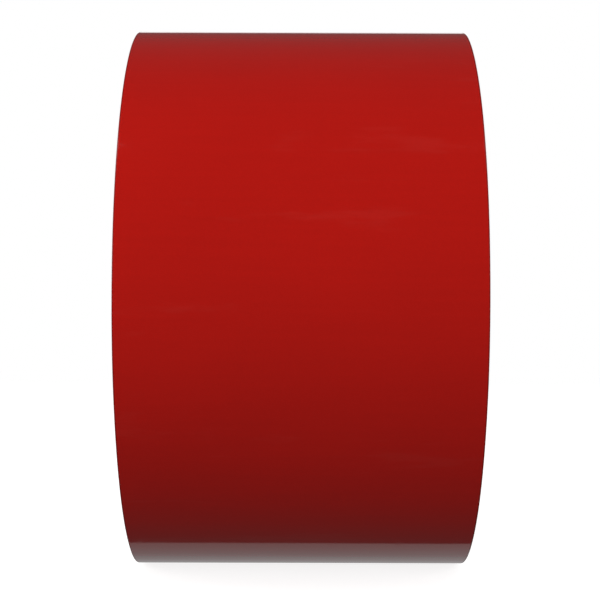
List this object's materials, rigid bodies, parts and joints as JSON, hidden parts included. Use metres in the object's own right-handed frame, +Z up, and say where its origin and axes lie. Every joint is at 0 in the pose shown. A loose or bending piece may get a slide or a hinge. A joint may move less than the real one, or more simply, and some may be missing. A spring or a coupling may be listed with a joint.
{
  "type": "roll of sign vinyl",
  "caption": "Roll of gloss red self-adhesive sign vinyl wound face out on a paperboard core, with a free end that lifts and a film that peels off its release liner.",
  "frame": {"origin": "middle of the core's bore, on the roll's axis and half way across the web", "axes": "+X along the roll's axis, +Z up, +Y towards the back, where the free end lies"},
  "size_m": [0.1016, 0.1696, 0.1698],
  "materials": {
    "red_film": "high gloss cast face film, coloured through",
    "adhesive": "clear tacky coat, faintly grey",
    "release_paper": "satin silicone-coated kraft liner",
    "wound_layers": "wound edges of red film and pale liner, fine rings",
    "kraft_board": "matte grey-brown kraft board",
    "smooth_board": "smooth kraft face ply with a helical butt seam",
    "clear_tape": "thin double-sided tape"
  },
  "bodies": {
    "roll": {"core_inner_ply": "smooth_board", "core_body_ply_1": "kraft_board", "core_body_ply_2": "kraft_board", "core_body_ply_3": "kraft_board", "core_body_ply_4": "kraft_board", "core_body_ply_5": "kraft_board", "core_body_ply_6": "kraft_board", "core_body_ply_7": "kraft_board", "core_body_ply_8": "kraft_board", "core_outer_ply": "smooth_board", "core_start_tape": "clear_tape", "wound_web": "wound_layers", "outer_turn_liner": "release_paper", "outer_turn_adhesive": "adhesive", "outer_turn_film": "red_film"},
    "tail": {"tail_liner": "release_paper", "tail_adhesive": "adhesive", "tail_film": "red_film"},
    "film_lead": {"lead_adhesive": "adhesive", "lead_film": "red_film"}
  },
  "joints": [
    {"name": "tail_lift", "type": "hinge", "parent": "roll", "child": "tail", "pos_m": [0, 0.01779, 0.08331], "axis": [1, 0, 0], "range_deg": [0, 90]},
    {"name": "film_peel", "type": "hinge", "parent": "tail", "child": "film_lead", "pos_m": [0, 0.04778, 0.07074], "axis": [1, 0, 0], "range_deg": [0, 140]}
  ]
}
